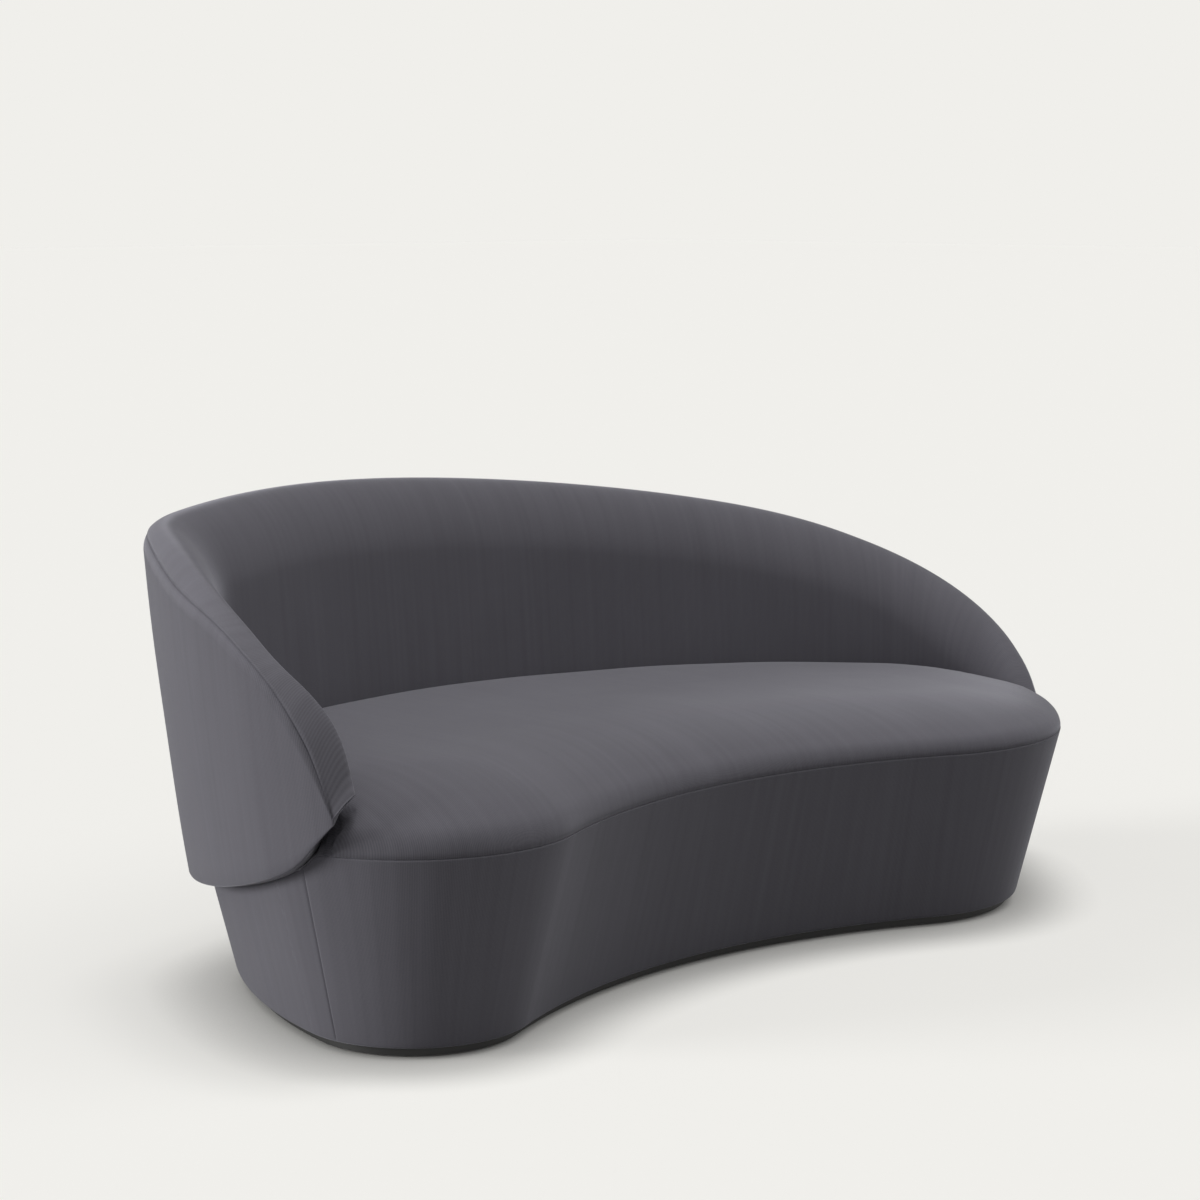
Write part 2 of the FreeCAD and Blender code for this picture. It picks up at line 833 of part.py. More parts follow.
def make_cross_pieces():
    inside = "(%s - Sizes.base_ring_width - Sizes.gap)" % base_edge()
    limit = plate("cross_piece_limit", inside, BASE_BOTTOM, "Sizes.board_thickness")
    boxes = []
    for rail in RAILS:
        boxes.append(bar("cross_piece_" + rail, {
            "Length": "Sizes.cross_piece_width",
            "Width": str(ROOM),
            "Height": "Sizes.board_thickness",
            "Placement.Base.x": "Sizes.%s - Sizes.cross_piece_width / 2" % rail,
            "Placement.Base.y": str(-ROOM / 2),
            "Placement.Base.z": BASE_BOTTOM,
        }))
    return clipped("base_cross_pieces", boxes, limit)


def make_deck_rails():
    inside = "(%s - %s - Sizes.gap)" % (skirt(RAIL_BOTTOM), WALL_IN)
    limit = plate("deck_rail_limit", inside, RAIL_BOTTOM, "Sizes.rail_height")
    boxes = []
    for rail in RAILS:
        boxes.append(bar("deck_rail_" + rail, {
            "Length": "Sizes.rail_width",
            "Width": str(ROOM),
            "Height": "Sizes.rail_height",
            "Placement.Base.x": "Sizes.%s - Sizes.rail_width / 2" % rail,
            "Placement.Base.y": str(-ROOM / 2),
            "Placement.Base.z": RAIL_BOTTOM,
        }))
    return clipped("deck_rails", boxes, limit)


def make_posts():
    boxes = []
    for rail in RAILS:
        for spot in ("front", "rear"):
            boxes.append(bar("post_%s_%s" % (rail, spot), {
                "Length": "Sizes.rail_width",
                "Width": "Sizes.rail_width",
                "Height": "%s - %s" % (RAIL_BOTTOM, BASE_TOP),
                "Placement.Base.x": "Sizes.%s - Sizes.rail_width / 2" % rail,
                "Placement.Base.y": "Sizes.%s_post_y - Sizes.rail_width / 2" % spot,
                "Placement.Base.z": BASE_TOP,
            }))
    posts = doc.addObject("Part::Compound", "posts_set")
    posts.Links = boxes
    return posts


def strap_limit():
    edge = "(%s - %s - Sizes.strap_seat)" % (skirt("Sizes.seat_frame_height"), WALL_IN)
    return plate("strap_limit", edge, "Sizes.seat_frame_height", "2 * Sizes.strap_thickness")


def make_straps(label, lengthwise, limit):
    """One layer of elastic straps; the crosswise layer lies on the lengthwise one."""
    box = limit.Shape.BoundBox
    low, high = (box.YMin, box.YMax) if lengthwise else (box.XMin, box.XMax)
    pitch = size["strap_pitch"]
    count = int((high - low - size["strap_width"]) // pitch) + 1
    first = (low + high) / 2 - (count - 1) * pitch / 2
    across, along = ("y", "x") if lengthwise else ("x", "y")
    boxes = []
    for index in range(count):
        boxes.append(bar("%s_%d" % (label, index), {
            "Length": str(ROOM) if lengthwise else "Sizes.strap_width",
            "Width": "Sizes.strap_width" if lengthwise else str(ROOM),
            "Height": "Sizes.strap_thickness",
            "Placement.Base." + across: "%.3f - Sizes.strap_width / 2" % (first + index * pitch),
            "Placement.Base." + along: str(-ROOM / 2),
            "Placement.Base.z": "Sizes.seat_frame_height + %d * Sizes.strap_thickness" % (not lengthwise),
        }))
    return clipped(label, boxes, limit)


def upright_board(station, places, thickness):
    """Board square to the plan, from (offset, level) corners."""
    edge = station.along * (thickness / 2)
    corners = [station.point(offset, level) - edge for offset, level in places]
    face = Part.Face(Part.makePolygon(corners + corners[:1]))
    return face.extrude(edge * 2)


def make_seat_ribs():
    """Upright boards that follow the lean of the side wall."""
    low = number(BASE_TOP)
    high = number(DECK_BOTTOM)
    inset = number(WALL_IN) + GAP
    foot = skirt_offset(low) - inset
    head = skirt_offset(high) - inset
    places = ((foot, low), (head, high), (head - size["rib_width"], high), (foot - size["rib_width"], low))
    stations = [Station((index + 0.5) * RIB_PITCH) for index in range(int(size["rib_count"]))]
    return group("seat_ribs", [upright_board(place, places, size["board_thickness"]) for place in stations])


# Frame of the back
def make_back_ribs():
    count = int(size["back_rib_count"])
    width = size["back_rib_width"]
    first = size["back_rail_start"] + width / 2
    pitch = (size["back_rail_end"] - size["back_rail_start"] - width) / (count - 1)
    room = size["back_rail_height"] + GAP
    ribs = []
    for index in range(count):
        start = first + index * pitch - width / 2
        sides = [BackSection(distance) for distance in (start, start + width)]
        low = max(side.frame_bottom for side in sides) + room
        high = min(side.frame_top for side in sides) - room
        ribs.append(back_loft(lambda distance: rib_section(distance, low, high), start, start + width))
    return group("back_ribs", ribs)


def make_back_bands():
    """Elastic bands behind the inner padding, as long as the frame is high enough."""
    bands = []
    for index in range(int(size["band_count"])):
        low = SEAM + size["band_level"] + index * size["band_pitch"]
        high = low + size["band_height"]
        rows = rows_between(size["back_rail_start"], size["back_rail_end"])
        reach = [distance for distance in rows if BackSection(distance).frame_top > high]

        def section(distance):
            depth = BAND_DEPTH + size["band_thickness"]
            return quad(BackSection(distance), BAND_DEPTH, depth, low, high, False)

        bands.append(back_loft(section, reach[0], reach[-1]))
    return group("back_bands", bands)


# Bolts that hold the back to the seat, each between two seat ribs
class BoltPlace:
    def __init__(self, bay):
        self.station = Station(bay * RIB_PITCH)
        self.level = BackSection(bay * RIB_PITCH).frame_bottom + size["back_rail_height"] / 2
        self.low = self.level - size["bolt_block_height"] / 2
        self.high = self.level + size["bolt_block_height"] / 2
        self.face = self.wall_inner(self.low) - size["bolt_block_depth"]
        self.end = frame_inner(self.level) + size["bolt_hold"]

    def wall_inner(self, level):
        return skirt_offset(level) - number(WALL_IN) - size["bolt_block_room"]

    def rod(self, radius, start, end):
        base = self.station.point(start, self.level)
        return Part.makeCylinder(radius, end - start, base, self.station.outward)

    def bore(self):
        return self.rod(size["bolt_radius"] + GAP, self.face - GAP, self.end + GAP)

    def block(self):
        places = ((self.wall_inner(self.low), self.low), (self.wall_inner(self.high), self.high),
                  (self.face, self.high), (self.face, self.low))
        return upright_board(self.station, places, size["bolt_block_width"]).cut(self.bore())

    def bolt(self):
        """Six-sided head and a plain shank."""
        corners = []
        for index in range(HEAD_SIDES):
            turn = 2 * math.pi * index / HEAD_SIDES
            spread = self.station.along * math.cos(turn) + UP * math.sin(turn)
            corners.append(self.station.point(self.face, self.level) + spread * size["bolt_head_radius"])
        face = Part.Face(Part.makePolygon(corners + corners[:1]))
        head = face.extrude(-self.station.outward * size["bolt_head_height"])
        return head.fuse(self.rod(size["bolt_radius"], self.face - LEAST, self.end)).removeSplitter()


# Glides under the plinth
def glide_places():
    middle = number(skirt(PLINTH_TOP)) - size["plinth_recess"] - size["plinth_width"] / 2
    count = int(size["glide_count"])
    return [Station(index * PERIMETER / count).point(middle, 0) for index in range(count)]


def glides():
    radius = size["glide_radius"]
    height = size["glide_height"]
    return group("glides", [Part.makeCylinder(radius, height, place) for place in glide_places()])


def shell_solid(label, section, trim=0):
    return back_piece(label, section, FIRST + trim, LAST - trim)


def frame_solid(label, section):
    return back_piece(label, section, size["back_rail_start"], size["back_rail_end"])


back_space = shell_solid("back_space", space_section, -GAP)
bolts = [BoltPlace(bay) for bay in BOLT_BAYS]
bolt_bores = group("bolt_bores", [place.bore() for place in bolts])
limit = strap_limit()
doc.recompute()

keep(glides(), "glides")
keep(make_plinth(), "plinth")
keep(make_dust_cover(), "dust_cover")
keep(make_base_ring(), "base_ring")
keep(make_cross_pieces(), "base_cross_pieces")
keep(make_seat_ribs(), "seat_ribs")
keep(make_posts(), "support_posts")
keep(make_deck_rails(), "deck_rails")
keep(make_deck_ring(), "deck_ring")
keep(drilled("side_wall", make_side_wall()), "side_wall")
keep(make_straps("lengthwise_straps", True, limit), "lengthwise_straps")
keep(make_straps("crosswise_straps", False, limit), "crosswise_straps")
keep(make_bed_felt(), "bed_felt")
keep(trimmed("side_foam", make_side_foam()), "side_foam")
keep(trimmed("skirt_cover", make_skirt_cover()), "skirt_cover")
keep(trimmed("seat_foam", make_seat_foam()), "seat_foam")
keep(trimmed("seat_top_cover", make_top_cover()), "seat_top_cover")
keep(drilled("back_bottom_rail", frame_solid("back_bottom_rail", bottom_rail_section)), "back_bottom_rail")
keep(frame_solid("back_top_rail", top_rail_section), "back_top_rail")
keep(make_back_ribs(), "back_ribs")
keep(frame_solid("back_panel", panel_section), "back_panel")
keep(make_back_bands(), "back_bands")
keep(shell_solid("back_outside_foam", outside_foam_section, COVER), "back_outside_foam")
keep(shell_solid("back_inside_foam", inside_foam_section, COVER), "back_inside_foam")
keep(shell_solid("back_outside_cover", outside_cover_section), "back_outside_cover")
keep(shell_solid("back_inside_cover", inside_cover_section), "back_inside_cover")
keep(shell_solid("back_bottom_strip", bottom_strip_section), "back_bottom_strip")
keep(group("bolt_blocks", [place.block() for place in bolts]), "bolt_blocks")
keep(group("back_bolts", [place.bolt() for place in bolts]), "back_bolts")
doc.recompute()

# The origin lies on the floor, below the middle of the overall box
shell = [obj for obj in pieces if obj.Label in ("back_outside_cover", "skirt_cover", "seat_top_cover")]
overall = Part.makeCompound([obj.Shape for obj in shell]).optimalBoundingBox()
shift = Vector(-overall.Center.x, -overall.Center.y, 0)
for obj in pieces:
    obj.Placement = Placement(shift, Rotation())
doc.recompute()

faults = []
for obj in pieces:
    if "Invalid" in obj.State or "Error" in obj.State or obj.Shape.isNull() or not obj.Shape.isValid():
        faults.append(obj.Label)
if faults:
    raise RuntimeError("Not sound: " + ", ".join(faults))

os.makedirs("parts", exist_ok=True)
for obj in pieces:
    obj.Shape.exportStep("parts/%s.step" % obj.Label)
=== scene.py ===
import json
import math

import bpy
import numpy as np
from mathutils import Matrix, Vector, noise

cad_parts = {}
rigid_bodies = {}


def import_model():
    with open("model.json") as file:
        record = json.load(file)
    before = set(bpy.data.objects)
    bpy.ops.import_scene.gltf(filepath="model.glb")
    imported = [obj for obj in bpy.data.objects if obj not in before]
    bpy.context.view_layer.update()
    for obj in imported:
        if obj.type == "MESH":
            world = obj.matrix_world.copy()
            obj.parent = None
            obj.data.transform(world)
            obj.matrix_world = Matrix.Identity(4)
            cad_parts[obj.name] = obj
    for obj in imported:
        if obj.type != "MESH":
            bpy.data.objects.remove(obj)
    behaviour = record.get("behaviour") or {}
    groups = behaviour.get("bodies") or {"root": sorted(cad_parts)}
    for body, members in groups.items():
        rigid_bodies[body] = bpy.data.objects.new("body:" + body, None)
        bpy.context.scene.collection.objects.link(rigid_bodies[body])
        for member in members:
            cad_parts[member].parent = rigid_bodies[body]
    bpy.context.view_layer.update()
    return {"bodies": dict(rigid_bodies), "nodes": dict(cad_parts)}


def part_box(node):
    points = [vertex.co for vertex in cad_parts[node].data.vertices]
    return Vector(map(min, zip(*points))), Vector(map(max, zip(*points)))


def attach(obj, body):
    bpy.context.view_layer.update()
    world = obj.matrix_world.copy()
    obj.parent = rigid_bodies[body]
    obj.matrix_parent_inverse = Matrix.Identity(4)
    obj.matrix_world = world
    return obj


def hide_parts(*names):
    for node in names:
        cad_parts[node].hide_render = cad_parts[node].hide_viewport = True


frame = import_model()
BODY = next(iter(frame["bodies"]))


def top_of(name):
    """Height of a CAD node's upper side."""
    return round(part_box(name)[1][2], 6)


# Plan of the seat seam: corner circles (x, y, radius) and the side arcs that touch them, in metres
CORNERS = {
    "front_left": (-0.651, -0.144, 0.265),
    "front_right": (0.541, -0.067, 0.342),
    "rear_right": (0.762, 0.066, 0.271),
    "rear_left": (-0.552, 0.176, 0.245),
}
SIDES = {"front_hollow": 1.084, "right_side": 1.059, "rear_side": 1.679, "left_side": 1.104}
HOLLOW = "front_hollow"
UP = Vector((0, 0, 1))

# Levels of the seat, taken from the frame
PLINTH_TOP = top_of("plinth")
SEAM_LEVEL = top_of("skirt_cover")
BED_GAP = 0.0005
BED_LEVEL = top_of("bed_felt") + BED_GAP

# Offsets of the plinth and of the band's hem from the seam line
PLINTH_OFFSET = -0.095
SKIRT_LEAN = 0.077

# Crown of the seat, its fall to the right and its rounded rear edge
CROWN_RISE = 0.091
CROWN_REACH = 0.222
CROWN_FALL = math.radians(1.8)
CROWN_BULGE = 0.003
BULGE_SHARE = 0.12
CROWN_FOOT = SEAM_LEVEL + 0.001
RIGHT_FALL = 0.018
RIGHT_FALL_START = 0.350
RIGHT_FALL_LENGTH = 0.600
REAR_DIP = 0.035
REAR_ROUND = 0.060
TIP_DIP_FADE = 0.200
COVER_GAP = 0.001

# Unevenness of stuffed cloth: depth, and waves in a metre
UNEVEN_DEPTH = 0.0024
UNEVEN_SCALE = 4.5

# Middle line of the seat, in the plan
SPINE = ((-0.62, 0.02), (-0.30, 0.10), (0.10, 0.14), (0.45, 0.09), (0.66, 0.01))

# Cushion's turned-under edge: offset, height and share of the crown's rise
CUSHION_EDGE = (
    (-0.030, BED_LEVEL + 0.002, 0),
    (-0.012, BED_LEVEL + 0.002, 0),
    (-0.006, SEAM_LEVEL - 0.004, 0),
    (-0.0042, SEAM_LEVEL + 0.0001, 0),
    (-0.0009, SEAM_LEVEL + 0.0004, 0.01),
)
CROWN_POINTS = 18
INNER_RINGS = 8

# Band of the seat: upright seam, hem turned under and upper edge turned in (inset and drop)
BAND_SEAM = -0.085
GROOVE_COLUMNS = (-0.0060, -0.0028, -0.0013, 0, 0.0013, 0.0028, 0.0060)
GROOVE_DEPTH = 0.0016
GROOVE_CLEARING = 1.5
PAD_DEPTH = 0.018
PAD_LIFT = 0.020
HEM_DEPTH = 0.034
HEM_UNDER = ((HEM_DEPTH, 0.0008), (0.008, 0.0003))
HEM_CLOSE = 0.004
HEM_ROUND = 0.006
HEM_SHIFT = 0.001
HEM_POINTS = 5
HEM_HEIGHT = 0.008
UPPER_TURN = 0.004
UPPER_EDGE = ((0.0002, 0.0010), (0.0009, 0.0003), (0.0040, 0.0002), (PAD_DEPTH, 0.001))
BAND_GAP = 0.0005
SKIRT_ROWS = 14
RING_STEP = 0.0125

# Back: distance along the plan, seam height, lower edge height and rise of the roll over the seam
BACK_MARKS = (
    (-0.164, 0.397, 0.385, 0.026),
    (-0.150, 0.446, 0.368, 0.050),
    (-0.130, 0.499, 0.345, 0.042),
    (-0.104, 0.545, 0.320, 0.030),
    (-0.050, 0.608, 0.290, 0.007),
    (0.000, 0.641, 0.272, 0.002),
    (0.190, 0.696, 0.224, 0.025),
    (0.500, 0.760, 0.182, 0.014),
    (0.900, 0.782, 0.175, 0.012),
    (1.370, 0.759, 0.175, 0.012),
    (1.825, 0.702, 0.177, 0.012),
    (2.150, 0.625, 0.188, 0.012),
    (2.440, 0.480, 0.222, 0.012),
    (2.540, 0.406, 0.250, 0.012),
    (2.600, 0.353, 0.273, 0.010),
    (2.630, 0.320, 0.290, 0.008),
)

# Outer face of the back: offsets from the seam line at three heights, with a parabola through them
FACE_LEVELS = (0.190, 0.450, 0.710)
FACE_OFFSETS = (0.0, 0.036, 0.061)

# Depth of the arm and the back, and where it changes
ARM_THICKNESS = 0.058
ARM_LENGTH = 0.100
ARM_TAPER = 0.400
BACK_THICKNESS = 0.105
TIP_THICKNESS = 0.052
TIP_TAPER = 0.520
TIP_TAPER_END = 2.760
ROLL_DROP_SHARE = 0.7
DEEPEST_FALL_SHARE = 0.55
DEEPEST_CREST_SHARE = 0.80
WALL_DEPTH = 0.018
WALL_STEP = 0.006
KINK_LIFT = 0.002
LEAST_SPAN = 0.001
FIRST = BACK_MARKS[0][0]
LAST = BACK_MARKS[-1][0]

# Nose of the arm: thicker, a little flared, with an inner side that reaches further to the front
# and an underside that is cut back
NOSE_START = -0.064
NOSE_REACH = 0.100
NOSE_SWELL = 0.022
NOSE_FLARE = 0.010
NOSE_SHEAR = 0.010
NOSE_SLANT = 1.3
NOSE_SLANT_DEPTH = 0.040

# Form of the covers, from the arm to the back
FULL_DETAIL_HEIGHT = 0.150
ARM_DROP_SCALE, BACK_DROP_SCALE = 0.75, 1.6
ARM_BELLY, BACK_BELLY = 0.002, 0.012
ARM_CREST, BACK_CREST = 0.043, 0.038
ARM_FULLNESS, BACK_FULLNESS = 2.4, 1.75
ARM_BAND_CURVE, BACK_BAND_CURVE = 1.6, 2.2

# Seam along the back: its groove's points and end are shares of depth and width
SEAM_DEPTH = 0.0030
SEAM_WIDTH = 0.0032
SEAM_GROOVE = ((0.35, -0.55), (1, -0.3), (0.9, 0.1))
SEAM_END = (0.55, 0.5)

# Rounded shoulder below the seam, lower edge and hidden underside
SHOULDER = 0.024
SHOULDER_INSET = 0.0065
SHOULDER_CURVE = 2.2
EDGE_ROUND = 0.005
UNDERSIDE_STEP = 0.0004
UNDERSIDE_DROP = 0.001

# Points of the back's section, and rows along it
EDGE_POINTS = 5
FACE_POINTS = 16
SHOULDER_POINTS = 6
BAND_POINTS = 8
ROLL_POINTS = 16
INNER_POINTS = 14
NOSE_ROWS_END = -0.104
NOSE_STEP = 0.006
BACK_STEP = 0.014
END_ROWS = 4
END_ROUND = 0.005
NOSE_ROUND = 0.002
SMALLEST_END = 0.15


def direction(angle):
    """Unit vector in the plan."""
    return Vector((math.cos(angle), math.sin(angle), 0))


def angle_of(vector):
    """Direction of a vector in the plan, as an angle from +X."""
    return math.atan2(vector.y, vector.x)


def corner_centre(name):
    """Centre of a corner circle."""
    x, y, radius = CORNERS[name]
    return Vector((x, y, 0))


def side_centre(first, second, side):
    """Centre of the arc that touches two corner circles."""
    sign = 1 if side == HOLLOW else -1
    reach_first = SIDES[side] + sign * CORNERS[first][2]
    reach_second = SIDES[side] + sign * CORNERS[second][2]
    span = corner_centre(second) - corner_centre(first)
    along = (reach_first ** 2 - reach_second ** 2 + span.length ** 2) / (2 * span.length)
    across = math.sqrt(reach_first ** 2 - along ** 2)
    unit = span.normalized()
    return corner_centre(first) + unit * along - Vector((-unit.y, unit.x, 0)) * (sign * across)


def plan_arcs():
    """Eight arcs counter-clockwise: centre, radius, growth sign, start angle and sweep."""
    corners = list(CORNERS)
    centres = {}
    for index, side in enumerate(SIDES):
        centres[side] = side_centre(corners[index], corners[(index + 1) % len(corners)], side)
    sides = list(SIDES)
    arcs = []
    for index, corner in enumerate(corners):
        middle = corner_centre(corner)
        joins = []
        for side in (sides[index - 1], sides[index]):
            towards = middle - centres[side]
            joins.append(angle_of(-towards if side == HOLLOW else towards))
        sweep = (joins[1] - joins[0]) % (2 * math.pi)
        arcs.append((middle, CORNERS[corner][2], 1, joins[0], sweep))
        after = sides[index]
        following = corner_centre(corners[(index + 1) % len(corners)])
        start = angle_of(middle - centres[after])
        end = angle_of(following - centres[after])
        grow = -1 if after == HOLLOW else 1
        sweep = grow * ((grow * (end - start)) % (2 * math.pi))
        arcs.append((centres[after], SIDES[after], grow, start, sweep))
    return arcs


PLAN = plan_arcs()
PERIMETER = sum(radius * abs(sweep) for middle, radius, grow, start, sweep in PLAN)
RING_COUNT = math.ceil(PERIMETER / RING_STEP)


def place(distance):
    """Base point and outward direction on the seam line, clockwise from the left side's front end."""
    remaining = distance % PERIMETER
    for middle, radius, grow, start, sweep in PLAN[::-1]:
        length = radius * abs(sweep)
        if remaining <= length:
            break
        remaining -= length
    angle = start + sweep * (1 - min(remaining / length, 1))
    return middle + direction(angle) * radius, direction(angle) * grow


def outline_centre(offset, count=2000):
    """Middle of the box round the outline at an offset."""
    points = []
    for index in range(count):
        base, outward = place(PERIMETER * index / count)
        points.append(base + outward * offset)
    lows = Vector((min(point.x for point in points), min(point.y for point in points), 0))
    highs = Vector((max(point.x for point in points), max(point.y for point in points), 0))
    return (lows + highs) / 2


# The plan lies where the frame has the plinth
plinth_low, plinth_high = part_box("plinth")
plinth_centre = (Vector(plinth_low) + Vector(plinth_high)) / 2
SHIFT = plinth_centre - outline_centre(PLINTH_OFFSET)
SHIFT.z = 0


def at(distance, offset, height):
    """Place at a distance along the seam line, an offset outward from it and a height."""
    base, outward = place(distance)
    return base + outward * offset + UP * height + SHIFT


# Edges of the back
def smooth_track(points, steps=40):
    """Natural cubic spline through (distance, height) points, as two dense arrays."""
    points = np.array(points)
    chord = np.r_[0, np.cumsum(np.linalg.norm(np.diff(points, axis=0), axis=1))]
    count = len(points)
    width = np.diff(chord)
    matrix = np.eye(count)
    right = np.zeros((count, 2))
    for index in range(1, count - 1):
        before, after = width[index - 1], width[index]
        matrix[index, index - 1:index + 2] = (before, 2 * (before + after), after)
        slope_after = (points[index + 1] - points[index]) / after
        slope_before = (points[index] - points[index - 1]) / before
        right[index] = 6 * (slope_after - slope_before)
    bend = np.linalg.solve(matrix, right)
    track = []
    for index in range(count - 1):
        for step in range(steps):
            share = (step / steps) * width[index]
            rest = width[index] - share
            value = (bend[index] * rest ** 3 + bend[index + 1] * share ** 3) / (6 * width[index])
            value += (points[index] / width[index] - bend[index] * width[index] / 6) * rest
            value += (points[index + 1] / width[index] - bend[index + 1] * width[index] / 6) * share
            track.append(value)
    track.append(points[-1])
    track = np.array(track)
    return track[:, 0], track[:, 1]


UPPER = smooth_track([(mark[0], mark[1]) for mark in BACK_MARKS])
LOWER = smooth_track([(mark[0], mark[2]) for mark in BACK_MARKS])
RISES = smooth_track([(mark[0], mark[3]) for mark in BACK_MARKS])


def face_offset(height):
    """Offset of the back's outer face at a height."""
    total = 0
    for index, level in enumerate(FACE_LEVELS):
        share = FACE_OFFSETS[index]
        for other, other_level in enumerate(FACE_LEVELS):
            if other != index:
                share *= (height - other_level) / (level - other_level)
        total += share
    return total


def skirt_offset(height):
    """Offset of the band's face, which leans inward to the hem."""
    return -SKIRT_LEAN * (SEAM_LEVEL - height) / (SEAM_LEVEL - PLINTH_TOP)


def ease(share):
    """Smooth step from 0 to 1."""
    share = max(0, min(1, share))
    return share * share * (3 - 2 * share)


def between(share, first, second):
    """Value at a share of the way from first to second."""
    return first + share * (second - first)


def uneven(point):
    """Slight rise and fall of stuffed cloth at a place."""
    return UNEVEN_DEPTH * noise.noise(point * UNEVEN_SCALE)


class Section:
    """Heights and depth of the back at one distance."""

    def __init__(self, distance):
        self.distance = distance
        self.top = float(np.interp(distance, *UPPER))
        self.bottom = float(np.interp(distance, *LOWER))
        self.height = self.top - self.bottom
        self.from_arm = ease((distance - ARM_LENGTH) / ARM_TAPER)
        to_tip = ease((distance - TIP_TAPER_END) / TIP_TAPER + 1)
        full = between(self.from_arm, ARM_THICKNESS, BACK_THICKNESS)
        self.nose = ease((NOSE_START - distance) / NOSE_REACH)
        self.thickness = between(to_tip, full, TIP_THICKNESS) + NOSE_SWELL * self.nose
        self.flare = NOSE_FLARE * self.nose
        self.rise = float(np.interp(distance, *RISES))
        self.fine = min(1, self.height / FULL_DETAIL_HEIGHT)
        self.kink = max(BED_LEVEL, self.bottom + KINK_LIFT)
        drop = self.thickness * ROLL_DROP_SHARE * between(self.from_arm, ARM_DROP_SCALE, BACK_DROP_SCALE)
        self.fall = self.rise + min(drop, DEEPEST_FALL_SHARE * self.height)
        self.belly = self.fine * between(self.from_arm, ARM_BELLY, BACK_BELLY)
        crest = between(self.from_arm, ARM_CREST, BACK_CREST) + NOSE_SWELL * self.nose
        self.crest = min(crest, self.thickness * DEEPEST_CREST_SHARE)
        self.fullness = between(self.from_arm, ARM_FULLNESS, BACK_FULLNESS)

    def face(self, height):
        """Offset of the outer face."""
        return face_offset(height) + self.flare

    def wall(self, height):
        """Hidden inner side below the bed, on the seat's wall."""
        on_wall = skirt_offset(min(height, BED_LEVEL)) - WALL_DEPTH
        return max(on_wall, self.face(height) - self.thickness + WALL_STEP)

    def moved_back(self, offset, height):
        """How far a point of the nose is moved away from the front."""
        depth = min(1, max(0, (self.face(height) - offset) / self.crest))
        below = max(0, self.top + self.rise * depth - height)
        return self.nose * depth * (NOSE_SLANT * min(below, NOSE_SLANT_DEPTH) - NOSE_SHEAR)

    def inner_face(self, height):
        """Inner face: follows the outer one and swells a little below the roll."""
        rolled = self.top + self.rise - self.fall
        share = max(0, min(1, (height - self.kink) / max(rolled - self.kink, LEAST_SPAN)))
        return self.face(height) - self.thickness - self.belly * math.sin(math.pi / 2 * share)


def back_loop(section):
    """Closed section as (offset, height), from the lower outer edge up, over the roll and back."""
    low, top, fine = section.bottom, section.top, section.fine
    face = section.face
    edge = EDGE_ROUND * fine
    shoulder = SHOULDER * fine
    inset = SHOULDER_INSET * fine
    loop = []
    for index in range(EDGE_POINTS):
        turn = math.pi / 2 * index / EDGE_POINTS
        loop.append((face(low) - edge * (1 - math.sin(turn)), low + edge * (1 - math.cos(turn))))
    for index in range(FACE_POINTS):
        height = between(index / FACE_POINTS, low + edge, top - shoulder)
        loop.append((face(height), height))
    for index in range(SHOULDER_POINTS):
        share = index / SHOULDER_POINTS
        height = top - shoulder * (1 - share) - SEAM_WIDTH * fine * share
        loop.append((face(height) - inset * share ** SHOULDER_CURVE, height))
    seam = face(top) - inset
    for depth, level in SEAM_GROOVE:
        loop.append((seam - SEAM_DEPTH * fine * depth, top + SEAM_WIDTH * fine * level))
    start = inset + SEAM_DEPTH * fine * SEAM_END[0]
    foot = top + SEAM_WIDTH * fine * SEAM_END[1]
    peak = top + section.rise
    curve = between(section.from_arm, ARM_BAND_CURVE, BACK_BAND_CURVE)
    for index in range(BAND_POINTS):
        share = index / BAND_POINTS
        depth = between(share, start, section.crest)
        height = between(1 - (1 - share) ** curve, foot, peak)
        loop.append((face(height) - depth, height))
    width = section.thickness + section.belly - section.crest
    for index in range(ROLL_POINTS):
        turn = math.pi / 2 * index / ROLL_POINTS
        across = math.sin(turn) ** (2 / section.fullness)
        down = 1 - math.cos(turn) ** (2 / section.fullness)
        height = peak - section.fall * down
        loop.append((face(height) - section.crest - width * across, height))
    rolled = peak - section.fall
    for index in range(INNER_POINTS + 1):
        height = between(index / INNER_POINTS, rolled, section.kink)
        loop.append((section.inner_face(height), height))
    loop.append((section.wall(section.kink), section.kink - UNDERSIDE_STEP))
    middle = (section.kink + low) / 2
    loop.append((section.wall(middle), middle))
    loop.append((section.wall(low), low + UNDERSIDE_STEP))
    loop.append(((section.wall(low) + face(low)) / 2, low - UNDERSIDE_DROP))
    return loop


